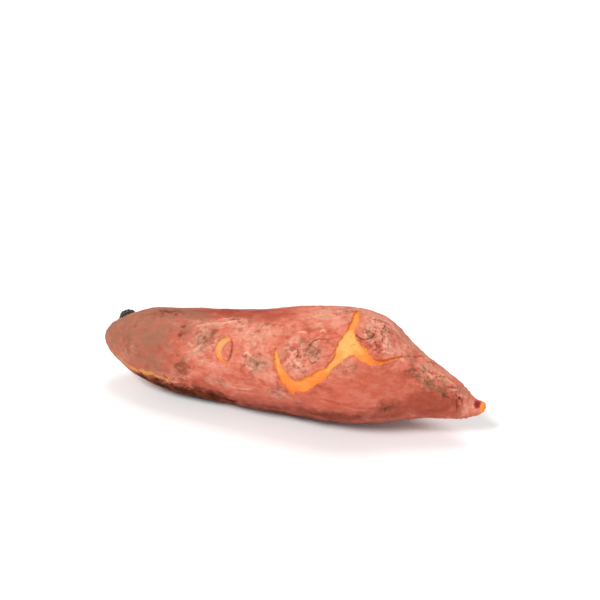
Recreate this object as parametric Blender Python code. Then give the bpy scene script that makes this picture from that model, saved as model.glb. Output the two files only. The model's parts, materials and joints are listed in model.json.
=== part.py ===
"""A whole baked sweet potato, lying on its belly.

Run with: blender --background --python part.py

Metres, +Z up. X runs along the tuber, from the blunt stem end at -X to the
root tip at +X. The origin is in the middle of its footprint, on the ground.
"""

import math

import bmesh
import bpy
from mathutils import Matrix, Vector

# The tuber
LENGTH = 0.210  # blunt end to root tip
WIDTH = 0.0600  # across the belly, where it is thickest
HEIGHT = 0.0602  # through the belly, before it settled
SETTLED = 0.0022  # how much of that height the soft belly lost by lying on it
SETTLE_ROUNDING = 0.0012  # height over which the side rounds into the flat spot

# The charred stub of the stalk, high on the back of the blunt end
STUB_RADIUS = 0.0056  # at its foot
STUB_TOP_RADIUS = 0.0042
STUB_LENGTH = 0.0034  # how far it stands out of the skin
STUB_ROOT = 0.0036  # how deep its foot is sunk in the tuber
STUB_POLAR = math.radians(25)  # where it stands: from the blunt end's pole
STUB_AROUND = math.radians(-42)  # and from the top, the back being negative
STUB_LEAN = 0.5  # how much it leans towards the blunt end

# Low swellings that run along the tuber: count around it, height as a share
# of the radius there, angle of the first at the blunt end, and twist to the tip
SWELLINGS = (
    (2, 0.020, math.radians(60), math.radians(-70)),
    (3, 0.018, math.radians(20), math.radians(80)),
    (5, 0.008, math.radians(-35), math.radians(50)),
)

# The tuber's shape: share of the length from the blunt end, girth as a share
# of the greatest, and how far the middle of the section lies to the back and
# up, as shares of the width and height
SECTIONS = (
    (0.000, 0.000, 0.020, -0.076),
    (0.018, 0.265, 0.020, -0.074),
    (0.055, 0.430, 0.020, -0.076),
    (0.110, 0.630, 0.018, -0.084),
    (0.200, 0.762, 0.012, -0.098),
    (0.300, 0.813, 0.004, -0.086),
    (0.400, 0.868, 0.000, -0.062),
    (0.500, 0.936, 0.000, -0.031),
    (0.610, 0.995, 0.000, 0.003),
    (0.690, 0.960, -0.002, 0.014),
    (0.740, 0.874, -0.006, 0.003),
    (0.790, 0.680, -0.012, -0.042),
    (0.850, 0.498, -0.022, -0.088),
    (0.910, 0.350, -0.034, -0.136),
    (0.945, 0.250, -0.042, -0.165),
    (0.972, 0.150, -0.046, -0.190),
    (0.990, 0.112, -0.048, -0.168),
    (1.000, 0.000, -0.048, -0.160),
)

SEGMENTS = 48  # faces around the tuber
RINGS = 72  # faces from pole to pole

SKIN_COLOUR = (0.52, 0.17, 0.11, 1.0)
SKIN_ROUGHNESS = 0.55


def clear_scene():
    for old in list(bpy.data.objects):
        bpy.data.objects.remove(old)


def polar_of(share):
    """The angle from the blunt end's pole at which a ring has this share."""
    return math.acos(1 - 2 * share)


def smooth_through(knots, values, at):
    """A cubic Hermite curve through (knots, values), read at one place."""
    last = len(knots) - 1
    i = max(k for k in range(last) if knots[k] <= at or k == 0)

    def slope(k):
        a, b = max(k - 1, 0), min(k + 1, last)
        return (values[b] - values[a]) / (knots[b] - knots[a])

    span = knots[i + 1] - knots[i]
    t = (at - knots[i]) / span
    return (
        values[i] * (1 + 2 * t) * (1 - t) ** 2
        + slope(i) * span * t * (1 - t) ** 2
        + values[i + 1] * t * t * (3 - 2 * t)
        + slope(i + 1) * span * t * t * (t - 1)
    )


def section_at(polar):
    """Girth share, and the section's middle as (x, y, z)."""
    knots = [polar_of(section[0]) for section in SECTIONS]
    girth, back, up = (
        smooth_through(knots, [section[k] for section in SECTIONS], polar)
        for k in (1, 2, 3)
    )
    middle = Vector((-LENGTH / 2 * math.cos(polar), back * WIDTH, up * HEIGHT))
    return girth, middle


def swell(polar, around):
    """How far the low swellings lift the skin, as a factor on the radius."""
    share = (1 - math.cos(polar)) / 2
    return 1 + sum(
        height * math.cos(count * (around - start - twist * share))
        for count, height, start, twist in SWELLINGS
    )


def skin_point(polar, around):
    """A point of the skin. Around is from the top, the front being positive."""
    girth, middle = section_at(polar)
    out = girth * swell(polar, around)
    side = Vector(
        (
            0,
            -WIDTH / 2 * out * math.sin(around),
            HEIGHT / 2 * out * math.cos(around),
        )
    )
    return middle + side


def tuber_mesh():
    """A sphere whose rings are laid along the tuber and drawn out to its skin."""
    bm = bmesh.new()
    bmesh.ops.create_uvsphere(bm, u_segments=SEGMENTS, v_segments=RINGS, radius=1)
    for vert in bm.verts:
        polar = math.acos(max(-1.0, min(1.0, vert.co.z)))
        vert.co = skin_point(polar, math.atan2(vert.co.y, vert.co.x))
    return bm


def settle(bm):
    """Flattens the belly onto the ground, rounding the side into the flat."""
    ground = min(vert.co.z for vert in bm.verts) + SETTLED
    for vert in bm.verts:
        above = vert.co.z - ground + SETTLE_ROUNDING / 4
        vert.co.z = ground + (above + math.hypot(above, SETTLE_ROUNDING)) / 2
    bmesh.ops.recalc_face_normals(bm, faces=bm.faces)
    cut = bmesh.ops.bisect_plane(
        bm,
        geom=bm.verts[:] + bm.edges[:] + bm.faces[:],
        plane_co=(0, 0, ground + SETTLE_ROUNDING / 4),
        plane_no=(0, 0, 1),
        clear_inner=True,
    )
    rim = [e for e in cut["geom_cut"] if isinstance(e, bmesh.types.BMEdge)]
    bmesh.ops.contextual_create(bm, geom=rim)
    bmesh.ops.recalc_face_normals(bm, faces=bm.faces)


def skin_material():
    material = bpy.data.materials.new("baked_skin")
    material.use_nodes = True
    surface = material.node_tree.nodes["Principled BSDF"]
    surface.inputs["Base Color"].default_value = SKIN_COLOUR
    surface.inputs["Roughness"].default_value = SKIN_ROUGHNESS
    surface.inputs["Metallic"].default_value = 0.0
    return material


def stub_cutter(collection):
    """The stalk's stub, a short cone sunk in the skin, to be joined to it."""
    foot = skin_point(STUB_POLAR, STUB_AROUND)
    _, middle = section_at(STUB_POLAR)
    outward = (foot - middle).normalized() + Vector((-STUB_LEAN, 0, 0))
    outward.normalize()
    bpy.ops.mesh.primitive_cone_add(
        vertices=16,
        radius1=STUB_RADIUS,
        radius2=STUB_TOP_RADIUS,
        depth=STUB_LENGTH + STUB_ROOT,
        location=foot + outward * (STUB_LENGTH - STUB_ROOT) / 2,
        rotation=outward.to_track_quat("Z", "Y").to_euler(),
    )
    stub = bpy.context.object
    stub.name = "stalk_stub"
    stub.hide_render = True
    stub.display_type = "WIRE"
    for old in list(stub.users_collection):
        old.objects.unlink(stub)
    collection.objects.link(stub)
    return stub


def move_to_footprint(bm, extra):
    """Puts the origin in the middle of the footprint, on the ground."""
    low = [min(vert.co[k] for vert in bm.verts) for k in range(3)]
    high = [max(vert.co[k] for vert in bm.verts) for k in range(3)]
    shift = Vector((-(low[0] + high[0]) / 2, -(low[1] + high[1]) / 2, -low[2]))
    bmesh.ops.translate(bm, verts=bm.verts, vec=shift)
    extra.matrix_world = Matrix.Translation(shift) @ extra.matrix_world


def main():
    clear_scene()
    parts = bpy.data.collections.new("sweet_potato")
    helpers = bpy.data.collections.new("joined_shapes")
    bpy.context.scene.collection.children.link(parts)
    bpy.context.scene.collection.children.link(helpers)

    stub = stub_cutter(helpers)
    bpy.context.view_layer.update()
    bm = tuber_mesh()
    settle(bm)
    move_to_footprint(bm, stub)

    mesh = bpy.data.meshes.new("sweet_potato")
    bm.to_mesh(mesh)
    bm.free()
    mesh.shade_smooth()
    tuber = bpy.data.objects.new("sweet_potato", mesh)
    tuber.data.materials.append(skin_material())
    parts.objects.link(tuber)

    union = tuber.modifiers.new("stalk_stub", "BOOLEAN")
    union.operation = "UNION"
    union.solver = "EXACT"
    union.object = stub


main()
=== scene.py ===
import json
import math
import random

import bpy
import numpy as np
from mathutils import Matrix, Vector, noise

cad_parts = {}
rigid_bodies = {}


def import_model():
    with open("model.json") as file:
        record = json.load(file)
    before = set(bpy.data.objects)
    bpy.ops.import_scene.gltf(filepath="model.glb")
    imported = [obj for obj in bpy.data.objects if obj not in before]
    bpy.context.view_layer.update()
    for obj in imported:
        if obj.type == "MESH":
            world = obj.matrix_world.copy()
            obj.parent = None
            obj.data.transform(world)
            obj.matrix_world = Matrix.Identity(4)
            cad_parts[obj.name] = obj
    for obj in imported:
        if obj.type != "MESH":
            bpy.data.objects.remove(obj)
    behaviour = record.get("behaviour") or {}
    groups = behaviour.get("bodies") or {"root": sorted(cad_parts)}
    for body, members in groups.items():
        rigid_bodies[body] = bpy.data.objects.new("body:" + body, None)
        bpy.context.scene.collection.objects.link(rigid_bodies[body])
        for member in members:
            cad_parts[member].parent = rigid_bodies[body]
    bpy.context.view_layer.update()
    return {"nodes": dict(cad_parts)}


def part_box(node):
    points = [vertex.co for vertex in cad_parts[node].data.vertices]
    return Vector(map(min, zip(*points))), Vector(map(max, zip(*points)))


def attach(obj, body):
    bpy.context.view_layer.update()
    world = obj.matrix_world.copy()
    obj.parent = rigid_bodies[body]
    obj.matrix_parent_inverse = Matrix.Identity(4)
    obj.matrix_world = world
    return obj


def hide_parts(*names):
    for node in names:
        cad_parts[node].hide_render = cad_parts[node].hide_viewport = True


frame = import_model()
rootLow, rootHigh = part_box("sweet_potato")
rootLength = rootHigh.x - rootLow.x
mm = 0.001
noise.seed_set(4)  # or its vectors would differ from run to run

# Camera, floor and lights

view = {
    "azimuth": 17,  # degrees round the root, from its long side towards the tip
    "elevation": 28,
    "lens": 80,
    "distance": 0.695,
    "across": 0.0053,  # how far the camera aims beside and above the root's middle
    "above": 0.0290,
}

studio = {
    "floorSize": 6.0,
    "floorColour": (0.90, 0.90, 0.895, 1),
    "floorRoughness": 0.6,
    "worldColour": (1.0, 1.0, 1.0, 1),
    "worldStrength": 0.36,
    "backdropStrength": 1.0,  # how bright the world itself looks, beyond the floor
    "lampsAim": (0, 0, 0.03),
    # name, size in metres, watts, place
    "lamps": (
        ("softLeft", 2.6, 452.0, (-2.4, -4.2, 5.4)),
        ("softTop", 4.0, 210.0, (0.6, 2.6, 5.5)),
        ("softRight", 2.0, 40.0, (4.0, -3.0, 2.2)),
    ),
}


def deselectAll():
    bpy.ops.object.select_all(action="DESELECT")


def pick(piece):
    deselectAll()
    piece.select_set(True)
    bpy.context.view_layer.objects.active = piece


def makeCamera():
    turn, rise = math.radians(view["azimuth"]), math.radians(view["elevation"])
    level = math.cos(rise)
    back = Vector((math.sin(turn) * level, -math.cos(turn) * level, math.sin(rise)))
    right = Vector((math.cos(turn), math.sin(turn), 0))
    middle = (rootLow + rootHigh) / 2
    aim = middle + right * view["across"] + back.cross(right) * view["above"]
    bpy.ops.object.camera_add(location=aim + back * view["distance"])
    camera = bpy.context.object
    camera.rotation_euler = (-back).to_track_quat("-Z", "Y").to_euler()
    camera.data.lens = view["lens"]
    bpy.context.scene.camera = camera


def makeStudio():
    bpy.ops.mesh.primitive_plane_add(size=studio["floorSize"], location=(0, 0, 0))
    floor = bpy.context.object
    floor.name = "floor"
    paint = bpy.data.materials.new("paleFloor")
    paint.use_nodes = True
    surface = paint.node_tree.nodes["Principled BSDF"]
    surface.inputs["Base Color"].default_value = studio["floorColour"]
    surface.inputs["Roughness"].default_value = studio["floorRoughness"]
    floor.data.materials.append(paint)

    world = bpy.data.worlds.new("studioWorld")
    world.use_nodes = True
    sky = world.node_tree.nodes["Background"]
    sky.inputs["Color"].default_value = studio["worldColour"]
    rays = world.node_tree.nodes.new("ShaderNodeLightPath")
    strength = world.node_tree.nodes.new("ShaderNodeMapRange")
    strength.inputs["To Min"].default_value = studio["worldStrength"]
    strength.inputs["To Max"].default_value = studio["backdropStrength"]
    world.node_tree.links.new(rays.outputs["Is Camera Ray"], strength.inputs["Value"])
    world.node_tree.links.new(strength.outputs["Result"], sky.inputs["Strength"])
    bpy.context.scene.world = world

    for name, size, watts, place in studio["lamps"]:
        aim = (Vector(studio["lampsAim"]) - Vector(place)).to_track_quat("-Z", "Y").to_euler()
        bpy.ops.object.light_add(type="AREA", location=place, rotation=aim)
        lamp = bpy.context.object
        lamp.name = name
        lamp.data.size = size
        lamp.data.energy = watts
    bpy.context.scene.view_settings.view_transform = "Standard"


makeCamera()
makeStudio()
print("camera, floor and lights are up")

# The root. Places on it are a share of its length from the stalk end, and degrees
# round it from the top, where the side with the torn skin is positive.

far = 50 * mm  # the distance kept to a stroke that is out of reach
strokeReach = 12 * mm

potato = {
    "grid": 0.92 * mm,  # size of a face before the fine places are divided
    "smoothing": 12,
    "slices": {"count": 80, "margin": 1.5 * mm, "reach": 2 * mm},
    # layers of noise: size, stretch along the root, and height
    "lumps": ((26 * mm, 1.6, 0.80 * mm), (10 * mm, 1.4, 0.38 * mm)),
    "folds": ((7.0 * mm, 5, 0.30 * mm), (3.4 * mm, 6, 0.17 * mm), (1.8 * mm, 4, 0.08 * mm)),
    "crinkle": ((1.5 * mm, 1, 0.07 * mm),),
    "calm": 16 * mm,  # size of the places where the folds are low
    "calmest": 0.35,
    # painted highlight: fold crests are painted paler, fully from this height
    "fullFold": 0.45 * mm,  # height at which a fold has its full colour
    "narrowing": (0.70, 0.84),  # where the root narrows and its folds grow
    "growth": 0.9,
    "backGrowth": 0.4,  # the share of that growth on the side that is turned away
    "belly": (0.3 * mm, 3.0 * mm),  # nothing swells below the first, and all does above the second
    # painted shade: the underside is painted darker close to the floor
    "shaded": (1 * mm, 17 * mm),  # the underside darkens between these heights
}

# Each use of noise has a seed of its own, and its further layers take the ones after it
seeds = {
    "frays": 1, "lumps": 3, "calm": 8, "folds": 10, "crinkle": 15, "crests": 16, "hollows": 18, "cells": 3,
    "furrows": 19, "cracks": 20, "pits": 22, "ridges": 23, "scar": 25, "scarCrests": 26, "ochre": 28,
    "stub": 30, "stubRough": 31, "rings": 33, "cut": 34, "cutRough": 35, "curl": 40, "flesh": 41,
    "patches": 51,
}

# Finer faces: how far from a torn edge or a crack each round of cuts reaches
refining = {"bands": (1.7 * mm, 0.65 * mm), "crackShare": 0.55, "tipFrom": 0.968, "crumpled": 0.70}

# Places and half widths of each tear, in mm
tears = {
    "depth": 1.0 * mm,  # how far the flesh lies below the skin
    "lip": 0.45 * mm,  # how far the torn edge stands up
    "lipWidth": 1.3 * mm,
    "fray": 0.55 * mm,  # how far the torn edge wanders
    "frays": ((3.5 * mm, 1, 1.0), (1.1 * mm, 1, 0.3)),
    "edge": (0.22 * mm, -0.48 * mm),  # the skin falls to the flesh between these distances
    "grain": ((2.2 * mm, 2, 0.12 * mm), (0.8 * mm, 1, 0.05 * mm)),
    "curls": 7 * mm,  # size of the lengths of edge that curl more or less
    "leastCurl": 0.35,
    "lipFrom": -0.2 * mm,
    # how much less the edge frays and curls, and the flesh sinks, where it is half covered
    "veiledFray": 0.7,
    "veiledCurl": 0.7,
    "veiledDepth": 0.55,
    "join": 0.55 * mm,  # how softly two strokes run together
    "strokes": (
        ((0.497, 49, 0.3), (0.501, 56, 1.1), (0.511, 68, 1.7), (0.524, 77, 2.6), (0.545, 87, 3.5)),
        ((0.545, 87, 3.4), (0.575, 86, 3.4), (0.597, 79, 3.0), (0.616, 73, 2.9), (0.632, 67, 1.9),
         (0.642, 61, 1.6), (0.655, 54, 2.4)),
        ((0.543, 88, 2.6), (0.549, 96, 0.9)),
        ((0.657, 53, 2.6), (0.662, 45, 4.1), (0.670, 38, 4.6), (0.669, 30, 3.2), (0.668, 22, 1.7)),
        ((0.675, 40, 4.0), (0.694, 41, 3.4), (0.713, 46, 3.0), (0.729, 50, 1.9)),
        ((0.667, 22, 1.6), (0.671, 11, 2.1), (0.668, 0, 1.4), (0.664, -9, 0.5)),
        ((0.729, 50, 1.8), (0.742, 49, 1.1), (0.754, 46, 0.8), (0.770, 38, 0.8), (0.785, 29, 0.7),
         (0.801, 19, 0.25)),
        ((0.795, 24, 0.5), (0.789, 18, 0.15)),
        ((0.374, 42, 0.6), (0.360, 45, 1.8), (0.350, 53, 1.9), (0.353, 60, 1.6), (0.362, 66, 1.1),
         (0.377, 69, 0.3)),
    ),
}

crackShape = {
    "edge": 0.3 * mm,
    "rim": 0.2 * mm,  # how far the edges are raised
    "rimWidth": 0.8 * mm,
    "wander": ((1.4 * mm, 1, 0.20 * mm), (4 * mm, 1, 0.25 * mm)),
}

# Dark cracks and slits: depth in mm, how dark they are, then places and half widths
cracks = (
    (0.60, 0.7, (0.377, 42, 0.1), (0.383, 49, 0.40), (0.385, 58, 0.50), (0.381, 67, 0.3)),
    (0.22, 0.8, (0.574, 56, 0.1), (0.578, 49, 0.5), (0.585, 42, 0.5), (0.598, 38, 0.5), (0.621, 37, 0.2)),
    (0.18, 0.5, (0.621, 37, 0.1), (0.635, 35, 0.2), (0.649, 31, 0.2)),
    (0.20, 0.7, (0.600, 57, 0.1), (0.606, 50, 0.4), (0.614, 49, 0.1)),
    (0.18, 0.6, (0.636, 53, 0.1), (0.643, 48, 0.25), (0.646, 42, 0.1)),
    (0.28, 0.9, (0.685, 27, 0.2), (0.699, 30, 0.50), (0.710, 29, 0.50), (0.721, 23, 0.4), (0.725, 13, 0.1)),
    (0.20, 0.8, (0.699, 13, 0.1), (0.704, 2, 0.35), (0.715, -3, 0.45), (0.727, -1, 0.1)),
    (0.20, 0.7, (0.720, -7, 0.1), (0.738, -4, 0.4), (0.738, 7, 0.2)),
    (0.20, 0.7, (0.727, 26, 0.1), (0.736, 34, 0.4), (0.729, 39, 0.1)),
    (0.20, 0.7, (0.700, 36, 0.1), (0.709, 38, 0.4), (0.716, 35, 0.1)),
    (0.20, 0.6, (0.731, 10, 0.1), (0.741, 15, 0.4), (0.744, 23, 0.1)),
    (0.20, 0.6, (0.588, 60, 0.1), (0.596, 62, 0.4), (0.604, 60, 0.1)),
    (0.20, 0.6, (0.551, 48, 0.1), (0.557, 54, 0.4), (0.553, 59, 0.1)),
    (0.20, 0.6, (0.562, 66, 0.1), (0.569, 71, 0.4), (0.577, 72, 0.1)),
    (0.18, 0.5, (0.694, 20, 0.1), (0.702, 22, 0.3), (0.712, 17, 0.1)),
    (0.18, 0.5, (0.801, 19, 0.2), (0.820, 9, 0.3), (0.837, -9, 0.1)),
    (0.20, 0.6, (0.844, 2, 0.2), (0.858, -12, 0.4), (0.868, -23, 0.2)),
    (0.20, 0.6, (0.881, 16, 0.1), (0.893, 8, 0.4), (0.905, 4, 0.1)),
    (0.20, 0.6, (0.905, 33, 0.1), (0.914, 25, 0.4), (0.926, 20, 0.1)),
    (0.20, 0.6, (0.917, 50, 0.1), (0.926, 44, 0.4), (0.936, 46, 0.1)),
    (0.18, 0.6, (0.818, 41, 0.1), (0.819, 34, 0.3), (0.828, 33, 0.3), (0.834, 38, 0.1)),
    (0.40, 0.6, (0.676, 40, 0.1), (0.683, 37, 0.35), (0.690, 36, 0.1)),
    (0.20, 0.6, (0.896, 66, 0.1), (0.905, 59, 0.4), (0.917, 61, 0.1)),
    (0.22, 0.7, (0.925, 28, 0.1), (0.929, 52, 0.4), (0.932, 76, 0.35), (0.933, 100, 0.1)),
    (0.18, 0.6, (0.940, 44, 0.1), (0.944, 64, 0.35), (0.947, 92, 0.1)),
)

furrowShape = {
    "edge": 0.5 * mm,
    "bank": 0.5,  # height of the banks beside it, as a share of its depth
    "bankAt": 1.3,  # in mm
    "wander": ((2.5 * mm, 1, 0.3 * mm),),
}

# Soft furrows: depth in mm, then places and half widths
furrows = (
    (0.40, (0.595, 94, 0.3), (0.652, 103, 0.5), (0.715, 101, 0.3)),
    (0.40, (0.620, 101, 0.3), (0.714, 107, 0.5), (0.802, 108, 0.3)),
    (0.35, (0.649, 118, 0.3), (0.742, 124, 0.5), (0.800, 122, 0.2)),
    (0.30, (0.560, 106, 0.2), (0.605, 109, 0.4), (0.640, 110, 0.2)),
    (0.35, (0.266, 94, 0.3), (0.318, 102, 0.6), (0.351, 111, 0.3)),
    (0.30, (0.899, 27, 0.3), (0.905, 17, 0.5), (0.911, 7, 0.3)),
    (0.35, (0.917, 43, 0.3), (0.929, 39, 0.5), (0.943, 55, 0.3)),
    (0.40, (0.933, 62, 0.4), (0.939, 86, 0.6), (0.944, 111, 0.5), (0.945, 150, 0.4)),
    (0.35, (0.947, 60, 0.3), (0.951, 88, 0.5), (0.955, 120, 0.4)),
    (0.30, (0.800, 2, 0.3), (0.840, 10, 0.6), (0.880, 22, 0.4)),
    (0.30, (0.850, -12, 0.3), (0.890, -4, 0.6), (0.925, 6, 0.3)),
    (0.25, (0.855, 30, 0.3), (0.885, 33, 0.5), (0.915, 30, 0.3)),
    (0.30, (0.25, -70, 0.3), (0.36, -76, 0.7), (0.47, -70, 0.3)),
    (0.30, (0.42, -108, 0.3), (0.56, -112, 0.7), (0.70, -104, 0.3)),
    (0.25, (0.56, -60, 0.3), (0.66, -56, 0.6), (0.75, -60, 0.3)),
    (0.35, (0.80, -60, 0.3), (0.86, -74, 0.6), (0.92, -80, 0.3)),
    (0.35, (0.935, -60, 0.3), (0.942, -100, 0.6), (0.944, -150, 0.4)),
)

ridgeShape = {"height": 0.3 * mm, "edge": (0.45 * mm, -0.25 * mm), "wander": ((1.8 * mm, 1, 0.25 * mm),)}

# Fine raised ridges, painted paler along their crests as painted highlight: places and half widths
ridges = (
    ((0.276, 29, 0.2), (0.312, 22, 0.4), (0.347, 19, 0.2)),
    ((0.322, 14, 0.2), (0.350, 10, 0.4), (0.385, 8, 0.2)),
    ((0.335, 24, 0.2), (0.360, 17, 0.4), (0.384, 11, 0.2)),
    ((0.299, 52, 0.2), (0.300, 46, 0.5), (0.307, 40, 0.2)),
    ((0.285, 60, 0.2), (0.295, 57, 0.5), (0.304, 51, 0.2)),
    ((0.268, 50, 0.2), (0.276, 54, 0.4), (0.284, 53, 0.2)),
    ((0.417, 60, 0.2), (0.427, 56, 0.5), (0.437, 60, 0.2)),
    ((0.444, 61, 0.2), (0.456, 64, 0.5), (0.464, 73, 0.2)),
    ((0.430, 70, 0.2), (0.440, 73, 0.4), (0.452, 72, 0.2)),
    ((0.529, 50, 0.2), (0.540, 54, 0.5), (0.551, 52, 0.2)),
    ((0.550, 61, 0.2), (0.561, 64, 0.5), (0.573, 66, 0.2)),
    ((0.527, 66, 0.2), (0.538, 62, 0.4), (0.548, 67, 0.2)),
    ((0.542, 31, 0.2), (0.553, 30, 0.5), (0.564, 31, 0.2)),
    ((0.597, 29, 0.2), (0.604, 27, 0.6), (0.611, 29, 0.2)),
    ((0.700, 20, 0.2), (0.707, 25, 0.5), (0.716, 20, 0.2)),
    ((0.752, 34, 0.1), (0.765, 31, 0.4), (0.776, 27, 0.1)),
    ((0.735, -15, 0.2), (0.760, -11, 0.5), (0.785, -8, 0.2)),
    ((0.830, 20, 0.2), (0.850, 24, 0.5), (0.870, 30, 0.2)),
    ((0.870, 5, 0.2), (0.895, 8, 0.5), (0.920, 12, 0.2)),
    ((0.905, 35, 0.2), (0.917, 30, 0.5), (0.928, 24, 0.2)),
    ((0.360, 96, 0.2), (0.400, 100, 0.4), (0.440, 99, 0.2)),
    ((0.484, 99, 0.2), (0.506, 96, 0.5), (0.530, 101, 0.2)),
    ((0.300, -62, 0.2), (0.340, -66, 0.5), (0.380, -60, 0.2)),
    ((0.480, -84, 0.2), (0.540, -88, 0.5), (0.590, -80, 0.2)),
    ((0.640, -70, 0.2), (0.690, -66, 0.5), (0.730, -72, 0.2)),
)

pitShape = {
    "stretch": 0.75,  # a dent is drawn out along the root
    "wander": ((1.8 * mm, 1, 0.35),),
    "rim": 0.2 * mm,
    # in radii of the dent
    "reach": 4,
    "rimAt": 1.5,
    "rimWidth": 0.5,
}

# Round dents: place, radius and depth in mm
pits = (
    (0.240, 44, 0.9, 0.9), (0.242, 31, 1.3, 0.4), (0.205, 9, 1.2, 0.5), (0.170, 10, 1.0, 0.5),
    (0.178, 4, 1.4, 0.5), (0.455, 67, 1.6, 0.6), (0.263, 84, 1.0, 0.6), (0.266, 91, 0.8, 0.5),
    (0.513, 103, 0.8, 0.4), (0.834, 42, 0.9, 0.4), (0.900, 57, 1.0, 0.4), (0.804, 43, 0.6, 0.2),
    (0.770, 109, 0.7, 0.3), (0.752, 102, 0.6, 0.3), (0.829, 106, 0.6, 0.3), (0.936, 47, 0.8, 0.4),
    (0.641, -5, 1.0, 0.3), (0.609, 57, 0.8, 0.3), (0.209, 115, 1.0, 0.4), (0.223, 115, 0.9, 0.4),
    (0.265, 92, 0.7, 0.3),
)

# Short eyes and dents on the sides that are turned away: how many, and the range of each size
hiddenEyes = {
    "count": 24, "seed": 11, "share": (0.08, 0.93), "around": (-165, -20), "turn": (3, 9),
    "half": (0.2, 0.5), "slant": 0.004, "bow": 0.002, "depth": 0.35, "dark": 0.7,
}
hiddenPits = {
    "count": 26, "seed": 7, "share": (0.08, 0.9), "back": (-175, -25), "under": (125, 175),
    "onBack": 0.8, "radius": (0.6, 1.5), "depth": (0.3, 0.8),
}

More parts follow.
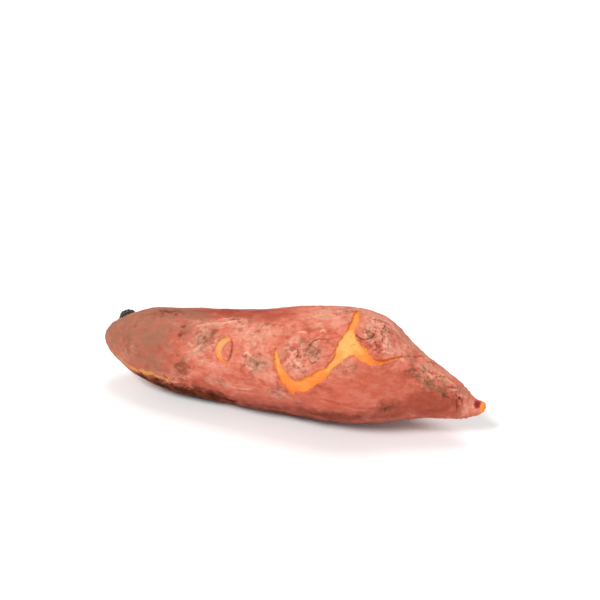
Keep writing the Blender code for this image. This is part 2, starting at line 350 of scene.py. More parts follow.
# Soft patches for the skin's look. Of each kind: share, degrees, reach along and across
# in mm, and strength.
patchWander = ((5 * mm, 1, 0.30), (1.8 * mm, 1, 0.15))
patches = {
    "earth": (  # grey-brown
        (0.05, 20, 34, 34, 1), (0.14, 40, 32, 30, 1), (0.16, 85, 24, 16, 0.8), (0.17, -10, 30, 26, 1),
        (0.06, -110, 28, 28, 0.9), (0.10, 170, 26, 20, 0.8), (0.24, 10, 20, 9, 0.9),
        (0.25, 34, 16, 10, 0.7), (0.592, 50, 6, 5, 0.9), (0.44, -60, 20, 14, 0.6), (0.29, 44, 10, 8, 0.5),
        (0.455, 66, 7, 6, 0.6), (0.94, 10, 8, 5, 0.6), (0.62, -120, 24, 16, 0.5), (0.81, 18, 6, 5, 0.5),
        (0.30, -95, 16, 12, 0.6), (0.52, -45, 14, 8, 0.6), (0.165, 12, 16, 7, 1),
    ),
    "dust": (  # pale and dull
        (0.31, 42, 12, 10, 1), (0.29, 60, 12, 8, 0.8), (0.31, 22, 15, 6, 0.8), (0.37, 15, 18, 6, 0.8),
        (0.43, 34, 16, 12, 0.9), (0.46, 66, 11, 9, 1), (0.50, 27, 16, 7, 0.6), (0.60, 4, 19, 13, 1),
        (0.66, -12, 16, 12, 0.9), (0.55, 62, 11, 11, 0.85), (0.545, 46, 11, 9, 0.9),
        (0.52, 102, 12, 6, 0.9), (0.59, 50, 9, 9, 0.9), (0.73, 5, 14, 15, 0.9), (0.71, 26, 6, 6, 0.5),
        (0.87, 10, 22, 8, 0.9), (0.80, -20, 20, 12, 0.8), (0.68, 62, 8, 7, 0.6), (0.35, -50, 28, 18, 0.9),
        (0.55, -70, 34, 18, 1), (0.74, -80, 24, 18, 0.9), (0.35, 95, 11, 5, 0.7), (0.86, 34, 14, 7, 0.6),
    ),
    "pale": (  # stretched and light
        (0.44, -66, 14, 8, 0.8), (0.66, -52, 16, 9, 0.8), (0.78, -70, 10, 8, 0.7), (0.77, 24, 15, 11, 1),
        (0.765, 26, 8, 6, 1.2), (0.74, -8, 14, 10, 0.7), (0.42, 58, 15, 9, 0.3), (0.35, 75, 11, 7, 0.6),
        (0.955, 65, 6, 10, 1), (0.60, 6, 14, 9, 0.45), (0.955, -60, 5, 9, 0.6), (0.49, 80, 7, 7, 0.6),
        (0.825, 37, 2.6, 2.2, 1), (0.122, 114, 1.4, 1.6, 1), (0.55, 62, 7, 7, 0.3),
        (0.30, 54, 7, 6, 0.5), (0.561, 73, 5, 4, 0.8),
    ),
    "crumple": (  # wrinkled loose skin
        (0.40, -60, 18, 12, 1), (0.70, -62, 16, 12, 1), (0.16, -80, 14, 12, 0.9),
        (0.725, 8, 13, 15, 1), (0.745, 30, 11, 7, 1), (0.60, 46, 9, 9, 0.4), (0.555, 60, 12, 11, 0.8),
        (0.31, 40, 13, 11, 0.9), (0.445, 64, 11, 8, 1), (0.675, 64, 10, 8, 0.55), (0.86, 36, 18, 10, 0.9),
        (0.20, 8, 18, 8, 0.9), (0.64, -4, 11, 9, 0.8), (0.22, 112, 26, 10, 0.9), (0.77, 106, 12, 6, 0.8),
        (0.44, 30, 15, 11, 0.7), (0.36, 18, 18, 8, 0.8), (0.26, 84, 9, 9, 0.6), (0.93, 50, 8, 14, 0.6),
        (0.245, 34, 10, 9, 0.7), (0.52, -92, 22, 13, 0.9), (0.30, -110, 20, 13, 0.8),
        (0.80, -110, 16, 12, 0.9), (0.52, 100, 12, 6, 0.7), (0.54, 44, 10, 8, 0.7),
        (0.10, 35, 22, 18, 0.35),
    ),
    "scab": (  # dark and corky
        (0.36, -78, 8, 5, 0.7), (0.50, -112, 9, 6, 0.7), (0.72, -92, 8, 6, 0.7), (0.84, -70, 6, 5, 0.6),
        (0.612, 54, 4, 4, 0.35), (0.32, 36, 6, 6, 0.6), (0.445, 66, 5, 4, 0.8), (0.725, -4, 5, 4, 0.2),
        (0.67, 62, 7, 6, 0.15), (0.243, 38, 4, 5, 0.8), (0.178, 3, 12, 4, 1), (0.64, -6, 8, 8, 0.3),
        (0.255, 84, 7, 8, 0.7), (0.77, 106, 8, 5, 0.4), (0.825, 42, 6, 4, 0.7), (0.60, -80, 10, 9, 0.5),
        (0.151, 27, 6, 3, 0.5), (0.09, 70, 9, 6, 0.45), (0.06, 46, 8, 4, 0.35), (0.13, 76, 6, 4, 0.4),
        (0.895, 50, 8, 7, 0.5), (0.92, 40, 6, 6, 0.4), (0.15, 14, 12, 5, 0.35), (0.506, 98, 5, 4, 0.6),
        (0.30, 48, 5, 6, 0.6), (0.36, 96, 6, 4, 0.5), (0.225, 112, 8, 4, 0.7), (0.165, 113, 8, 3, 0.5),
    ),
    "flush": (  # bright red
        (0.40, -125, 34, 12, 0.9), (0.66, -118, 30, 12, 0.9), (0.88, -100, 16, 14, 0.8),
        (0.29, 4, 26, 7, 1), (0.38, 0, 28, 9, 1), (0.46, 5, 22, 9, 1), (0.74, 74, 32, 20, 1),
        (0.60, 108, 36, 13, 1), (0.85, 88, 30, 19, 1), (0.36, 84, 14, 8, 0.3), (0.83, 28, 8, 6, 0.7),
        (0.36, 30, 7, 3, 1), (0.255, 62, 8, 4, 0.8), (0.895, 14, 9, 6, 0.9), (0.50, 130, 70, 18, 0.9),
        (0.71, 110, 30, 14, 0.9), (0.46, 112, 24, 9, 0.9),
    ),
    # dark red skin, partly painted shade: along the top edge where a neighbour shades it, and on the
    # underside
    "deep": (  # dark red
        (0.902, 68, 9, 8, 0.8), (0.28, 8, 24, 6, 0.8), (0.37, 2, 24, 8, 0.9), (0.455, 6, 20, 8, 0.8),
        (0.26, -2, 18, 7, 1.1), (0.33, -8, 24, 8, 1.2), (0.41, -8, 20, 7, 1), (0.87, 92, 30, 13, 1),
        (0.78, 116, 28, 12, 0.9), (0.62, 128, 44, 11, 0.75), (0.44, 122, 34, 9, 0.6),
        (0.31, 118, 22, 9, 0.6), (0.55, 178, 90, 26, 0.6),
    ),
    # burnt skin, partly painted shade along the bottom edge by the floor
    "scorchAndShade": (  # burnt
        (0.13, 122, 10, 5, 1), (0.18, 124, 18, 8, 1), (0.24, 128, 26, 10, 1), (0.32, 130, 26, 9, 1),
        (0.26, 150, 40, 18, 1), (0.50, 152, 60, 18, 0.6), (0.30, -150, 40, 18, 0.7),
        (0.70, -160, 40, 14, 0.6), (0.66, 126, 30, 7, 0.5),
    ),
    "blood": ((0.978, 22, 2.6, 4.0, 1), (0.216, 115, 3, 2.4, 0.6)),  # dark red juice
    "ripe": (  # light flesh
        (0.668, 38, 11, 10, 1), (0.668, 27, 4, 5, 0.5), (0.78, 30, 8, 6, 0.6), (0.36, 50, 7, 9, 0.8),
        (0.505, 62, 6, 10, 0.7), (0.985, 0, 9, 9, 0.05), (0.64, 60, 6, 6, 0.8),
    ),
    "veil": ((0.362, 53, 7, 8, 1),),  # flesh that is still half covered
}

# The crumpled skin: narrow crests with hollows between them, and fine cracks between cells
crumpling = {
    "height": 0.60 * mm,
    "least": 0.12,  # its share of the height where the skin isn't crumpled
    "leastSeen": 0.35,
    "crests": ((4.4 * mm, 1.3, 0.7), (2.3 * mm, 1, 0.3)),
    "hollows": ((3.2 * mm, 1, 2.5),),
    "hollowShare": 0.7,
    "cells": 4.2 * mm,
    "cellDepth": 0.16 * mm,
    "cellsFrom": (0.3, 0.9),  # how crumpled the skin is where the cells begin and are full
}

# The long scar near the tip, and the bare ochre line under the stalk end
scar = {
    "stroke": ((0.834, 40, 0.8), (0.851, 45, 2.0), (0.871, 49, 1.7), (0.890, 51, 2.0), (0.902, 57, 0.7)),
    "wander": ((2.4 * mm, 1, 1.6 * mm),),
    "edge": (0.7 * mm, -0.5 * mm),
    "depth": 0.05 * mm,
    "crests": ((2.0 * mm, 1, 0.35 * mm),),
}
ochreLine = {
    "stroke": (
        (0.030, 109, 0.3), (0.062, 112, 0.5), (0.084, 111, 0.8), (0.117, 109, 1.3), (0.164, 104, 1.4),
        (0.192, 106, 1.0), (0.210, 110, 0.5),
    ),
    "wander": ((3 * mm, 1, 0.9 * mm), (1.3 * mm, 1, 0.8 * mm)),
    "edge": (0.5 * mm, -0.5 * mm),
    "depth": 0.2 * mm,
}
stalk = {
    "share": 0.042,
    "degrees": -36,
    "radius": 7.0 * mm,
    "wander": ((1.5 * mm, 1, 0.15),),
    "rough": ((1.3 * mm, 1, 0.4 * mm),),
}
tip = {
    "cut": 0.984,
    "cutEdge": 0.002,
    "cutWander": ((2.2 * mm, 1, 0.002),),
    "rough": ((0.9 * mm, 1, 0.25 * mm),),
    "depth": 0.25 * mm,
    "rings": (0.936, 0.947, 0.957, 0.966),
    "ringDepth": 0.32 * mm,
    "ringWidth": 0.0022,
    "ringWander": ((6 * mm, 1, 0.004),),
}


def copyOfNode(name):
    # a merged copy of the CAD node, as a new piece on its own
    pick(frame["nodes"]["sweet_potato"])
    bpy.ops.object.duplicate()
    piece = bpy.context.object
    bpy.ops.object.parent_clear(type="CLEAR_KEEP_TRANSFORM")
    for key in list(piece.keys()):
        del piece[key]
    piece.name = name
    piece.data.name = name
    piece.data.materials.clear()
    bpy.ops.object.mode_set(mode="EDIT")
    bpy.ops.mesh.select_all(action="SELECT")
    bpy.ops.mesh.remove_doubles(threshold=0.01 * mm)
    bpy.ops.mesh.normals_make_consistent(inside=False)
    bpy.ops.object.mode_set(mode="OBJECT")
    return piece


def applyModifier(piece, kind, **settings):
    pick(piece)
    bpy.ops.object.modifier_add(type=kind)
    modifier = piece.modifiers[-1]
    for key, value in settings.items():
        setattr(modifier, key, value)
    bpy.ops.object.modifier_apply(modifier=modifier.name)


def vectorsOf(piece, key="co"):
    # the places of the vertices, or their normals
    found = np.empty(len(piece.data.vertices) * 3, np.float32)
    piece.data.vertices.foreach_get(key, found)
    return found.reshape(-1, 3).astype(float)


def sliceMiddles(piece):
    # the middle of each slice across the root: x, y and z
    places, slices = vectorsOf(piece), potato["slices"]
    rows = []
    for x in np.linspace(rootLow.x + slices["margin"], rootHigh.x - slices["margin"], slices["count"]):
        near = places[abs(places[:, 0] - x) < slices["reach"]]
        rows.append((x, *(near.min(axis=0) + near.max(axis=0))[1:] / 2))
    return np.array(rows)


def middleAt(x, middles):
    return np.interp(x, middles[:, 0], middles[:, 1]), np.interp(x, middles[:, 0], middles[:, 2])


def rootPlaces(places, middles):
    # share of the length, and degrees round the root
    y, z = middleAt(places[:, 0], middles)
    around = np.degrees(np.arctan2(y - places[:, 1], places[:, 2] - z))
    return (places[:, 0] - rootLow.x) / rootLength, around


def skinPlace(piece, middles, share, degrees):
    # the point of the skin at a share of the length and degrees round it
    x = rootLow.x + share * rootLength
    middle = Vector((x, *middleAt(x, middles)))
    turn = math.radians(degrees)
    hit, place, *_ = piece.ray_cast(middle, Vector((0, -math.sin(turn), math.cos(turn))))
    return place if hit else middle


def strokeLine(piece, middles, stroke, steps=14, thinnest=0.05):
    # a smooth line through a stroke's places: points, and the half width at each
    knots = np.array((stroke[0],) + tuple(stroke) + (stroke[-1],), float)
    points, halves = [], []
    for i in range(1, len(knots) - 2):
        before, start, end, after = knots[i - 1 : i + 3]
        for step in range(steps + (i == len(knots) - 3)):
            t = step / steps
            share, degrees, half = 0.5 * (
                2 * start + (end - before) * t + (2 * before - 5 * start + 4 * end - after) * t * t
                + (3 * start - before - 3 * end + after) * t ** 3
            )
            points.append(skinPlace(piece, middles, share, degrees))
            halves.append(max(half, thinnest) * mm)
    return np.array(points), np.array(halves)


def distanceTo(piece, middles, places, stroke):
    # distance to a stroke's edge, negative inside it
    points, halves = strokeLine(piece, middles, stroke)
    found = np.full(len(places), far)
    near = np.all((places > points.min(0) - strokeReach) & (places < points.max(0) + strokeReach), axis=1)
    close = places[near]
    nearest = np.full(len(close), far)
    for point, half in zip(points, halves):
        nearest = np.minimum(nearest, np.linalg.norm(close - point, axis=1) - half)
    found[near] = nearest
    return found


def softUnion(a, b, join):
    blend = np.clip(0.5 + 0.5 * (b - a) / join, 0, 1)
    return b * (1 - blend) + a * blend - join * blend * (1 - blend)


def smooth(low, high, values):
    t = np.clip((values - low) / (high - low), 0, 1)
    return t * t * (3 - 2 * t)


def between(low, high, share):
    return low + (high - low) * share


def noiseAt(places, size, seed, stretch=1.0, octaves=3):
    # soft noise about 0, drawn out along the root by stretch
    grain = places / size / np.array((stretch, 1, 1)) + seed * 13.7
    return np.array([noise.fractal(Vector(spot), 1.0, 2.0, octaves) for spot in grain])


def crestsAt(places, size, seed, stretch=1.0, sharpness=2.4):
    # narrow crests, 0 to 1, with wide hollows between them
    return (1 - np.clip(abs(noiseAt(places, size, seed, stretch)) * sharpness, 0, 1)) ** 2


def layersAt(places, layers, seed, kind=noiseAt):
    # noise of several sizes together. The layers take seeds that follow each other.
    return sum(tall * kind(places, size, seed + i, stretch) for i, (size, stretch, tall) in enumerate(layers))


def cellEdgesAt(places, size, seed, where, warpScale=0.9, warp=0.5, sharpness=4):
    # 1 on the cracks between cells and 0 inside them, only where asked
    found = np.zeros(len(places))
    grain = places / size + seed * 5.3
    for i in np.nonzero(where)[0]:
        spot = Vector(grain[i])
        spot += noise.noise_vector(spot * warpScale) * warp
        distances = noise.voronoi(spot)[0]
        found[i] = 1 - min((distances[1] - distances[0]) * sharpness, 1)
    return found


def tearDistance(piece, middles, places):
    found = np.full(len(places), far)
    for stroke in tears["strokes"]:
        found = softUnion(found, distanceTo(piece, middles, places, stroke), tears["join"])
    return found


def allCracks():
    # the cracks that are listed, and short eyes across the sides that are turned away
    draw = random.Random(hiddenEyes["seed"])
    found = list(cracks)
    for _ in range(hiddenEyes["count"]):
        share, degrees = draw.uniform(*hiddenEyes["share"]), draw.uniform(*hiddenEyes["around"])
        turn, half = draw.uniform(*hiddenEyes["turn"]), draw.uniform(*hiddenEyes["half"])
        slant = draw.uniform(-1, 1) * hiddenEyes["slant"]
        start, end = ((share + side * slant, degrees + side * turn, 0.1) for side in (-1, 1))
        bow = (share + hiddenEyes["bow"], degrees, half)
        found.append((hiddenEyes["depth"], hiddenEyes["dark"], start, bow, end))
    return found


def crackDistances(piece, middles, places):
    return [(depth, dark, distanceTo(piece, middles, places, stroke)) for depth, dark, *stroke in allCracks()]


def allPits():
    # the dents that are listed, and more on the sides that are turned away
    draw = random.Random(hiddenPits["seed"])
    found = list(pits)
    for _ in range(hiddenPits["count"]):
        side = "back" if draw.random() < hiddenPits["onBack"] else "under"
        degrees = draw.uniform(*hiddenPits[side])
        share, radius, depth = (draw.uniform(*hiddenPits[size]) for size in ("share", "radius", "depth"))
        found.append((share, degrees, radius, depth))
    return found


def patchField(piece, middles, places, kind, wander=0.0):
    # how strongly each place belongs to the patches of one kind
    found = np.zeros(len(places))
    for along, turn, reach, width, strength in patches[kind]:
        spot = np.array(skinPlace(piece, middles, along, turn))
        away = np.linalg.norm((places - spot) / (reach * mm, width * mm, width * mm), axis=1) + wander
        found = np.maximum(found, strength * smooth(1.0, 0.25, away))
    return found


def divideFaces(piece, chosen):
    # one cut more in each edge of the faces whose corners are chosen
    pick(piece)
    bpy.ops.object.mode_set(mode="EDIT")
    bpy.ops.mesh.select_mode(type="FACE")
    bpy.ops.mesh.select_all(action="DESELECT")
    bpy.ops.object.mode_set(mode="OBJECT")
    flags = [any(chosen[i] for i in face.vertices) for face in piece.data.polygons]
    piece.data.polygons.foreach_set("select", flags)
    bpy.ops.object.mode_set(mode="EDIT")
    bpy.ops.mesh.subdivide(number_cuts=1)
    bpy.ops.object.mode_set(mode="OBJECT")


def refine(piece, middles):
    # finer faces along the torn edges and the cracks, and once on the stub, tip and crumpled skin
    for level, band in enumerate(refining["bands"]):
        places = vectorsOf(piece)
        chosen = abs(tearDistance(piece, middles, places)) < band
        for *_, distance in crackDistances(piece, middles, places):
            chosen |= abs(distance) < band * refining["crackShare"]
        if level == 0:
            chosen |= places[:, 0] > rootLow.x + refining["tipFrom"] * rootLength
            stub = skinPlace(piece, middles, stalk["share"], stalk["degrees"])
            chosen |= np.linalg.norm(places - stub, axis=1) < stalk["radius"]
            chosen |= patchField(piece, middles, places, "crumple") > refining["crumpled"]
        divideFaces(piece, chosen)


def writeField(piece, name, values):
    made = piece.data.attributes.new(name, "FLOAT", "POINT")
    made.data.foreach_set("value", np.asarray(values, np.float32))


def shapePotato(piece):
    middles = sliceMiddles(piece)
    refine(piece, middles)
    print("potato: refined to", len(piece.data.vertices), "vertices")
    places, normals = vectorsOf(piece), vectorsOf(piece, "normal")
    share, degrees = rootPlaces(places, middles)

    def toStroke(stroke):
        return distanceTo(piece, middles, places, stroke)

    def layered(layers, name, kind=noiseAt):
        return layersAt(places, layers, seeds[name], kind)

    # distance to the torn edge, which frays less where the flesh is half covered
    halfCovered = patchField(piece, middles, places, "veil")
    torn = tearDistance(piece, middles, places)
    torn += tears["fray"] * (1 - tears["veiledFray"] * halfCovered) * layered(tears["frays"], "frays")

    # lumps, and folds that grow where the root narrows. Height is in metres, out of the skin.
    lumps = layered(potato["lumps"], "lumps")
    height = lumps.copy()
    calm = between(potato["calmest"], 1, smooth(-0.25, 0.35, noiseAt(places, potato["calm"], seeds["calm"])))
    growth = smooth(*potato["narrowing"], share) * between(potato["backGrowth"], 1, smooth(-35, 10, degrees))
    folds = layered(potato["folds"], "folds", crestsAt)
    height += folds * calm * (1 + potato["growth"] * growth)
    wander = layered(furrowShape["wander"], "furrows")
    for depth, *stroke in furrows:
        distance = toStroke(stroke) + wander
        groove = smooth(furrowShape["edge"], -furrowShape["edge"], distance)
        bank = furrowShape["bank"] * np.exp(-((distance / mm - furrowShape["bankAt"]) ** 2))
        height -= depth * mm * (groove - bank)
    height += layered(potato["crinkle"], "crinkle")

    # soft patches of each kind
    wander = layered(patchWander, "patches")
    kinds = {kind: patchField(piece, middles, places, kind, wander) for kind in patches}

    # fine raised ridges, which the skin's colour also paints paler as painted highlight
    ridge = np.zeros(len(places))
    wander = layered(ridgeShape["wander"], "ridges")
    for stroke in ridges:
        ridge = np.maximum(ridge, smooth(*ridgeShape["edge"], toStroke(stroke) + wander))
    height += ridgeShape["height"] * ridge

    # crumpled skin: narrow crests with hollows between them
    hollows = np.clip(layered(crumpling["hollows"], "hollows"), 0, 1)
    relief = layered(crumpling["crests"], "crests", crestsAt) - crumpling["hollowShare"] * hollows
    height += crumpling["height"] * relief * between(crumpling["least"], 1, kinds["crumple"])
    cellsStart, cellsFull = crumpling["cellsFrom"]
    edges = cellEdgesAt(places, crumpling["cells"], seeds["cells"], kinds["crumple"] > cellsStart)
    edges *= smooth(cellsStart, cellsFull, kinds["crumple"])
    height -= crumpling["cellDepth"] * edges

    # cracks, dark inside, with their edges a little raised
    crack = np.zeros(len(places))
    wander = layered(crackShape["wander"], "cracks")
    for depth, dark, distance in crackDistances(piece, middles, places):
        distance = distance + wander
        inside = smooth(crackShape["edge"], -crackShape["edge"], distance)
        height += crackShape["rim"] * np.exp(-np.clip(distance, 0, None) / crackShape["rimWidth"])
        height -= (depth * mm + crackShape["rim"]) * inside
        crack = np.maximum(crack, inside * dark)

    # round dents with a low rim
    pit = np.zeros(len(places))
    wander = layered(pitShape["wander"], "pits")
    for along, turn, radius, depth in allPits():
        spot = np.array(skinPlace(piece, middles, along, turn))
        away = np.linalg.norm((places - spot) * (pitShape["stretch"], 1, 1), axis=1) / (radius * mm)
        away += wander * (away < pitShape["reach"])
        inside = smooth(1.0, 0.1, away)
        height += pitShape["rim"] * np.exp(-(((away - pitShape["rimAt"]) / pitShape["rimWidth"]) ** 2))
        height -= depth * mm * inside
        pit = np.maximum(pit, inside)

    # the long scar, pitted and rough, and the ochre line
    scarred = smooth(*scar["edge"], toStroke(scar["stroke"]) + layered(scar["wander"], "scar"))
    height -= scarred * (scar["depth"] - layered(scar["crests"], "scarCrests", crestsAt))
    ochre = smooth(*ochreLine["edge"], toStroke(ochreLine["stroke"]) + layered(ochreLine["wander"], "ochre"))
    height -= ochreLine["depth"] * ochre

    # the charred stub, the rings round the tip, and its torn end
    stub = np.array(skinPlace(piece, middles, stalk["share"], stalk["degrees"]))
    away = np.linalg.norm(places - stub, axis=1) / stalk["radius"]
    burnt = smooth(1.0, 0.8, away + layered(stalk["wander"], "stub"))
    height += burnt * layered(stalk["rough"], "stubRough")
    wander = layered(tip["ringWander"], "rings")
    for ring in tip["rings"]:
        height -= tip["ringDepth"] * np.exp(-(((share - ring + wander) / tip["ringWidth"]) ** 2))
    cut = smooth(-tip["cutEdge"], tip["cutEdge"], share - tip["cut"] + layered(tip["cutWander"], "cut"))
    height += cut * (layered(tip["rough"], "cutRough") - tip["depth"])

    # the flesh lies below the skin, whose torn edge curls up
    curl = between(tears["leastCurl"], 1, smooth(-0.3, 0.4, noiseAt(places, tears["curls"], seeds["curl"])))
    curl *= 1 - tears["veiledCurl"] * kinds["veil"]
    lip = tears["lip"] * curl * np.exp(-np.clip(torn, 0, None) / tears["lipWidth"])
    lip *= torn > tears["lipFrom"]
    inTear = smooth(*tears["edge"], torn)
    flesh = layered(tears["grain"], "flesh") - tears["depth"] * (1 - tears["veiledDepth"] * kinds["veil"])
    height = (height + lip) * (1 - inTear) + (lumps + flesh) * inTear

    # nothing swells where the belly rests, and nothing goes below the floor
    free = smooth(*potato["belly"], places[:, 2])
    places += normals * (height * free)[:, None]
    places[:, 2] = np.maximum(places[:, 2], 0)
    piece.data.vertices.foreach_set("co", places.astype(np.float32).ravel())
    piece.data.update()

    fields = {
        "torn": np.clip(torn / mm, -3, 3),
        "crack": crack,
        # the crumpled crests and hollows, which the material paints as highlight and shade
        "relief": relief * between(crumpling["leastSeen"], 1, kinds["crumple"]),
        "edges": edges,
        "ridge": ridge,
        "pit": pit,
        "scar": scarred,
        "ochre": ochre,
        "burnt": burnt,
        "cut": cut,
        # painted highlight on the fold crests
        "foldHighlight": np.clip(folds * calm / potato["fullFold"], 0, 1),
        # painted shade, strongest next to the floor
        "floorShade": 1 - smooth(*potato["shaded"], places[:, 2]),
        **kinds,
    }
    for name, values in fields.items():
        writeField(piece, name, values)


skin = copyOfNode("bakedSweetPotato")
applyModifier(skin, "REMESH", mode="VOXEL", voxel_size=potato["grid"])
applyModifier(skin, "SMOOTH", factor=0.5, iterations=potato["smoothing"])
print("potato: remeshed to", len(skin.data.vertices), "vertices")
shapePotato(skin)
skin.data.polygons.foreach_set("use_smooth", [True] * len(skin.data.polygons))
print("potato: shaped,", sum(len(face.vertices) - 2 for face in skin.data.polygons), "triangles")

# Materials

# the skin's tones, from its darkest to its palest
skinTones = (
    (0.00, (0.170, 0.030, 0.018)),
    (0.18, (0.310, 0.053, 0.028)),
    (0.38, (0.460, 0.092, 0.051)),
    (0.58, (0.570, 0.160, 0.102)),
    (0.78, (0.640, 0.234, 0.164)),
    (1.00, (0.780, 0.400, 0.292)),
)
paints = {
    "red": (0.505, 0.102, 0.058),
    "earth": (0.290, 0.116, 0.072),
    "dust": (0.525, 0.250, 0.158),
    # brown for painted shade in the hollows, and for the dried cracks between cells
    "hollow": (0.235, 0.078, 0.043),
    "brown": (0.150, 0.040, 0.017),
    "crack": (0.110, 0.022, 0.010),
    "blood": (0.220, 0.014, 0.010),
    # dark red, partly painted shade
    "deep": (0.285, 0.046, 0.024),
    # burnt brown, partly painted shade
    "scorchedAndShade": (0.050, 0.0155, 0.0080),
    "veil": (0.590, 0.270, 0.092),
    "scar": (0.215, 0.090, 0.048),
    "fleshDeep": (0.770, 0.212, 0.036),
    "fleshPale": (0.840, 0.372, 0.100),
    "ochre": (0.60, 0.255, 0.045),
    "char": (0.026, 0.022, 0.019),
    "ash": (0.105, 0.095, 0.085),
}


def feed(tree, socket, value):
    # a link to the socket, or a constant on it
    if isinstance(value, bpy.types.NodeSocket):
        tree.links.new(value, socket)
    else:
        socket.default_value = value


def addNode(tree, kind, inputs=None, **settings):
    made = tree.nodes.new(kind)
    for key, value in settings.items():
        setattr(made, key, value)
    for key, value in (inputs or {}).items():
        feed(tree, made.inputs[key], value)
    return made


def maths(tree, operation, first, second=0.0, third=0.0, clamp=False):
    made = addNode(tree, "ShaderNodeMath", {0: first, 1: second, 2: third}, operation=operation)
    made.use_clamp = clamp
    return made.outputs[0]


def ramp(tree, value, low, high, toLow=0.0, toHigh=1.0):
    inputs = {"Value": value, "From Min": low, "From Max": high, "To Min": toLow, "To Max": toHigh}
    return addNode(tree, "ShaderNodeMapRange", inputs, interpolation_type="SMOOTHSTEP").outputs["Result"]


def mixValue(tree, amount, below, above):
    return maths(tree, "MULTIPLY_ADD", amount, maths(tree, "SUBTRACT", above, below), below)


def mixColour(tree, amount, below, above):
    made = tree.nodes.new("ShaderNodeMix")
    made.data_type = "RGBA"
    made.clamp_factor = True
    sockets = {socket.identifier: socket for socket in made.inputs}
    for name, value in (("Factor_Float", amount), ("A_Color", below), ("B_Color", above)):
        feed(tree, sockets[name], (*value, 1) if isinstance(value, tuple) else value)
    return next(socket for socket in made.outputs if socket.identifier == "Result_Color")


def newGroup(name, inputs, outputs):
    # a shader group with named float or vector inputs, and float outputs
    tree = bpy.data.node_groups.new(name, "ShaderNodeTree")
    for key, value in inputs:
        kind = "NodeSocketVector" if value is None else "NodeSocketFloat"
        socket = tree.interface.new_socket(key, in_out="INPUT", socket_type=kind)
        if value is not None:
            socket.default_value = value
    for key in outputs:
        tree.interface.new_socket(key, in_out="OUTPUT", socket_type="NodeSocketFloat")
    return tree, tree.nodes.new("NodeGroupInput").outputs, tree.nodes.new("NodeGroupOutput")


def useGroup(tree, group, **inputs):
    return addNode(tree, "ShaderNodeGroup", inputs, node_tree=group).outputs


def stretched(tree, vector, stretch):
    # the same places, drawn out along the root
    shrunk = maths(tree, "DIVIDE", 1.0, stretch)
    squeeze = addNode(tree, "ShaderNodeCombineXYZ", {"X": shrunk, "Y": 1.0, "Z": 1.0}).outputs[0]
    return addNode(tree, "ShaderNodeVectorMath", {0: vector, 1: squeeze}, operation="MULTIPLY").outputs[0]


def makeMottle():
    # soft blotches: size in mm, and the two noise levels that the mask runs between
    inputs = (("Vector", None), ("Size", 5.0), ("Stretch", 1.0), ("Seed", 0.0), ("From", 0.35), ("To", 0.65))
    tree, given, out = newGroup("mottle", inputs, ("Mask",))
    scale = maths(tree, "DIVIDE", 1000.0, given["Size"])
    drawn = stretched(tree, given["Vector"], given["Stretch"])
    blotch = addNode(tree, "ShaderNodeTexNoise", {"Vector": drawn, "W": given["Seed"], "Scale": scale,
                                                  "Detail": 3.0, "Roughness": 0.55}, noise_dimensions="4D")
    tree.links.new(ramp(tree, blotch.outputs[0], given["From"], given["To"]), out.inputs["Mask"])
    return tree


def makeCreases():
    # fine crease lines, drawn out along the root: size across them in mm
    inputs = (("Vector", None), ("Size", 2.0), ("Stretch", 5.0), ("Seed", 0.0), ("Width", 0.03))
    tree, given, out = newGroup("creases", inputs, ("Lines", "Height"))
    warp = addNode(tree, "ShaderNodeTexNoise", {"Vector": given["Vector"], "Scale": 160.0, "Detail": 1.0})
    shift = addNode(tree, "ShaderNodeVectorMath", {0: warp.outputs["Color"], 1: (0.0035, 0.0035, 0.0035)},
                    operation="MULTIPLY")
    moved = addNode(tree, "ShaderNodeVectorMath", {0: given["Vector"], 1: shift.outputs[0]}, operation="ADD")
    drawn = stretched(tree, moved.outputs[0], given["Stretch"])
    scale = maths(tree, "DIVIDE", 1000.0, given["Size"])
    grain = addNode(tree, "ShaderNodeTexNoise", {"Vector": drawn, "W": given["Seed"], "Scale": scale,
                                                 "Detail": 2.0, "Roughness": 0.5}, noise_dimensions="4D")
    off = maths(tree, "ABSOLUTE", maths(tree, "SUBTRACT", grain.outputs[0], 0.5))
    tree.links.new(ramp(tree, off, given["Width"], 0.0), out.inputs["Lines"])
    tree.links.new(maths(tree, "MULTIPLY", off, -4.0), out.inputs["Height"])
    return tree


def makePores():
    # small round specks: spacing in mm, and the share of cells that hold one
    inputs = (("Vector", None), ("Spacing", 2.0), ("Radius", 0.15), ("Share", 0.4))
    tree, given, out = newGroup("pores", inputs, ("Mask",))
    scale = maths(tree, "DIVIDE", 1000.0, given["Spacing"])
    cells = addNode(tree, "ShaderNodeTexVoronoi", {"Vector": given["Vector"], "Scale": scale})
    chance = addNode(tree, "ShaderNodeSeparateColor", {"Color": cells.outputs["Color"]})
    chosen = maths(tree, "LESS_THAN", chance.outputs[0], given["Share"])
    spot = ramp(tree, cells.outputs["Distance"], given["Radius"], 0.0)
    tree.links.new(maths(tree, "MULTIPLY", chosen, spot), out.inputs["Mask"])
    return tree


mottle = makeMottle()
creases = makeCreases()
pores = makePores()


def field(tree, name):
    return addNode(tree, "ShaderNodeAttribute", attribute_name=name).outputs["Fac"]


def toneRamp(tree, value):
    made = addNode(tree, "ShaderNodeValToRGB", {"Fac": value})
    stops = made.color_ramp.elements
    for i, (place, tone) in enumerate(skinTones):
        stop = stops[i] if i < 2 else stops.new(place)
        stop.position = place
        stop.color = (*tone, 1)
    return made.outputs["Color"]


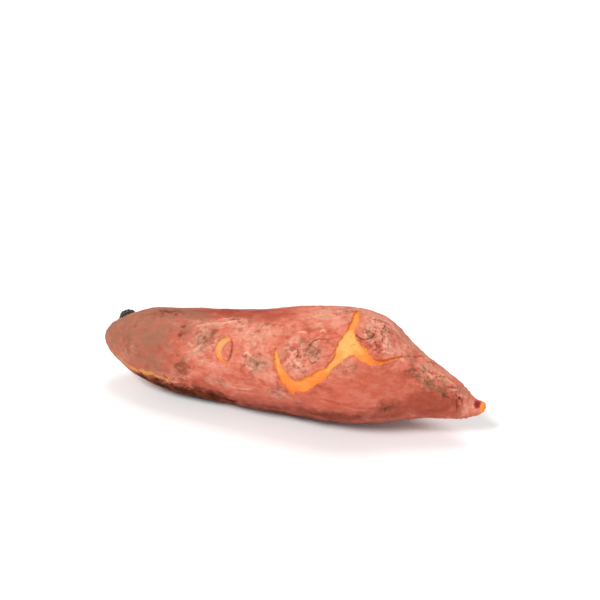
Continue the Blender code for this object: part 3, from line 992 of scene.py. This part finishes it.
# how much each thing makes the skin paler, or darker when it is negative. The paler tone on ridges, folds and
# crumpled crests is painted highlight, and the darker crease lines are partly painted shade
toneShares = {
    "broad": 0.16, "middling": 0.20, "fine": 0.08, "streaks": 0.08, "pale": 0.30,
    "ridge": 0.22, "foldHighlight": 0.06, "relief": 0.30, "longLines": -0.14, "tinyLines": -0.06,
}
toneBase = 0.27
gloss = {"tight": 0.42, "loose": 0.62, "dusty": 0.18, "broken": 0.3, "wet": -0.10, "specular": 0.12}
bumps = {"strength": 0.7, "distance": 0.4 * mm}
underSkin = {
    "Subsurface Weight": 0.10,
    "Subsurface Radius": (1.0, 0.35, 0.15),
    "Subsurface Scale": 1.6 * mm,
}


def makeBakedSkin():
    material = bpy.data.materials.new("bakedSkin")
    material.use_nodes = True
    tree = material.node_tree
    surface = tree.nodes["Principled BSDF"]
    here = tree.nodes.new("ShaderNodeTexCoord").outputs["Object"]

    def its(name):
        return field(tree, name)

    def add(value, amount, total):
        return maths(tree, "MULTIPLY_ADD", value, amount, total)

    def times(first, *others):
        for other in others:
            first = maths(tree, "MULTIPLY", first, other)
        return first

    def most(first, second):
        return maths(tree, "MAXIMUM", first, second)

    def run(value, low, high, toLow=0.0, toHigh=1.0):
        return ramp(tree, value, low, high, toLow, toHigh)

    def over(colour, paint, *masks):
        # paint on top of a colour, where all the masks are
        return mixColour(tree, times(*masks), colour, paint)

    def blotches(size, stretch, seed, low=0.35, high=0.65):
        inputs = {"Vector": here, "Size": size, "Stretch": stretch, "Seed": seed, "From": low, "To": high}
        return useGroup(tree, mottle, **inputs)["Mask"]

    # how pale the skin is: blotches of three sizes, lines along the root that are partly painted shade, and
    # the fields, with painted highlight on the ridges, folds and crests
    broad = blotches(15.0, 1.5, 1.0)
    middling = blotches(5.0, 1.4, 2.0, 0.38, 0.62)
    fine = blotches(1.9, 1.2, 3.0, 0.36, 0.64)
    streaks = blotches(1.8, 8.0, 4.0, 0.44, 0.62)
    patchy = blotches(3.2, 1.3, 7.0, 0.40, 0.60)
    flecks = blotches(1.5, 1.3, 6.0, 0.54, 0.64)
    long = useGroup(tree, creases, Vector=here, Size=3.0, Stretch=6.0, Seed=5.0, Width=0.040)
    tiny = useGroup(tree, creases, Vector=here, Size=1.3, Stretch=1.8, Seed=9.0, Width=0.05)
    relief = its("relief")
    tones = {
        "broad": broad,
        "middling": middling,
        "fine": fine,
        "streaks": times(streaks, broad),
        "pale": its("pale"),
        "ridge": its("ridge"),
        "foldHighlight": its("foldHighlight"),
        "relief": relief,
        "longLines": times(long["Lines"], middling),
        "tinyLines": times(tiny["Lines"], fine),
    }
    tone = toneBase
    for name, amount in toneShares.items():
        tone = add(tones[name], amount, tone)
    colour = toneRamp(tree, tone)

    # bright red with pale streaks combed along it, and painted shade on the underside near the floor
    colour = over(colour, paints["red"], its("flush"), 0.75)
    colour = over(colour, skinTones[4][1], streaks, its("flush"), run(broad, -1.0, 1.0), 0.4)
    colour = over(colour, skinTones[1][1], its("floorShade"), run(middling, -1.0, 1.0, 0.5, 1.0))

    # dull dust, dark red that is partly painted shade, grey-brown earth, and pale flecks with painted
    # highlight on the crests
    dusty = times(its("dust"), run(patchy, -0.4, 1.0, 0.0, 0.8))
    colour = over(colour, paints["dust"], dusty)
    # dark red skin, partly painted shade along the top edge and the underside
    colour = over(colour, paints["deep"], its("deep"), run(middling, -1.0, 1.0, 0.6, 0.9))
    earthy = times(its("earth"), run(middling, -1.0, 1.0, 0.4, 0.97))
    colour = over(colour, paints["earth"], earthy)
    # pale flecks in the dust, and painted highlight on the crumpled crests and the ridges
    flecksAndHighlight = most(times(most(run(relief, 0.15, 0.7), flecks), its("dust")), its("ridge"))
    colour = over(colour, skinTones[-1][1], flecksAndHighlight, 0.5)

    # painted shade in the hollows of the crumpled skin, brown scabs, burnt skin that is partly painted shade
    # along the bottom, dried cracks between cells, specks and red juice
    # painted shade: the hollows between the crumpled crests are painted darker
    hollow = times(run(relief, -0.02, -0.42), run(fine, -1.0, 1.0), run(its("pale"), 0.0, 1.0, 1.0, 0.35))
    colour = over(colour, paints["hollow"], hollow, 0.6)
    scabby = times(its("scab"), run(patchy, 1.0, 0.1))
    colour = over(colour, paints["brown"], scabby, 0.8)
    # burnt skin along the bottom, partly painted shade where it meets the floor
    brownedAndShaded = times(its("scorchAndShade"), run(middling, -1.6, 0.8))
    colour = over(colour, paints["scorchedAndShade"], brownedAndShaded, 0.95)
    colour = over(colour, paints["hollow"], its("edges"), run(patchy, 0.2, 0.8), 0.6)
    specks = useGroup(tree, pores, Vector=here, Spacing=3.4, Radius=0.14, Share=0.3)["Mask"]
    colour = over(colour, paints["brown"], specks, 0.5)
    colour = over(colour, paints["blood"], its("blood"))

    # scar, the ochre line, cracks, pits and the char
    colour = over(colour, paints["scar"], its("scar"), run(patchy, -0.5, 0.8), 0.85)
    colour = over(colour, paints["ochre"], its("ochre"), run(patchy, -0.2, 0.8))
    colour = over(colour, paints["crack"], its("crack"), run(fine, -0.6, 0.9))
    colour = over(colour, paints["crack"], its("pit"), 0.65)
    ashy = mixColour(tree, run(fine, 0.2, 1.0), paints["char"], paints["ash"])
    colour = over(colour, ashy, its("burnt"))

    # the torn edge: stained by the juice, with a dark rim that is partly dried edge and partly painted shade
    # under the lifted lip, but not where the flesh is half covered
    edge = add(fine, 0.35, its("torn"))
    unveiled = run(its("veil"), 0.6, 0.1)
    stained = times(run(edge, 1.6, 0.3), run(middling, 0.3, 1.0), unveiled, 0.2)
    colour = over(colour, paints["fleshDeep"], stained)
    colour = over(colour, skinTones[0][1], run(edge, 0.9, 0.2), run(patchy, 0.1, 0.9), unveiled, 0.30)

    # flesh where the skin is torn, and at the cut tip
    ripe = add(middling, 0.25, its("ripe"))
    flesh = mixColour(tree, ripe, paints["fleshDeep"], paints["fleshPale"])
    threads = useGroup(tree, creases, Vector=here, Size=1.2, Stretch=3.0, Seed=14.0, Width=0.09)
    flesh = over(flesh, paints["fleshDeep"], threads["Lines"], 0.22)
    # painted shade: the flesh is darker just inside the torn edge, where the lip shades it
    flesh = over(flesh, paints["fleshDeep"], run(edge, -0.9, 0.0), run(middling, 0.9, 0.1), unveiled, 0.6)
    flesh = over(flesh, paints["brown"], its("crack"), 0.5)
    flesh = over(flesh, paints["veil"], its("veil"), run(fine, -1.0, 1.0, 0.7, 1.0))
    opened = most(run(edge, 0.42, -0.14), its("cut"))
    colour = over(colour, flesh, opened)
    tree.links.new(colour, surface.inputs["Base Color"])

    # gloss: tight skin and wet flesh shine a little, and dust, scabs, the burnt and shaded underside and char
    # don't
    dull = run(tone, 0.2, 0.9, gloss["tight"], gloss["loose"])
    dull = add(most(dusty, earthy), gloss["dusty"], dull)
    for value in (most(scabby, its("crack")), brownedAndShaded, its("burnt")):
        dull = add(value, gloss["broken"], dull)
    dull = maths(tree, "MULTIPLY_ADD", opened, gloss["wet"], dull, clamp=True)
    tree.links.new(dull, surface.inputs["Roughness"])
    tree.links.new(run(brownedAndShaded, 0.0, 0.8, gloss["specular"], 0.0), surface.inputs["Specular IOR Level"])

    # fine relief
    grain = times(long["Height"], 0.45)
    grain = add(tiny["Height"], 0.45, grain)
    grain = add(times(patchy, its("crumple")), 0.6, grain)
    grain = add(fine, 0.25, grain)
    grain = add(specks, -0.4, grain)
    grain = mixValue(tree, opened, grain, times(threads["Height"], 0.35))
    given = {"Height": grain, "Strength": bumps["strength"], "Distance": bumps["distance"]}
    tree.links.new(addNode(tree, "ShaderNodeBump", given).outputs["Normal"], surface.inputs["Normal"])

    for name, value in underSkin.items():
        surface.inputs[name].default_value = value
    return material


skin.data.materials.append(makeBakedSkin())
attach(skin, "root")
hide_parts("sweet_potato")
print("materials are on")
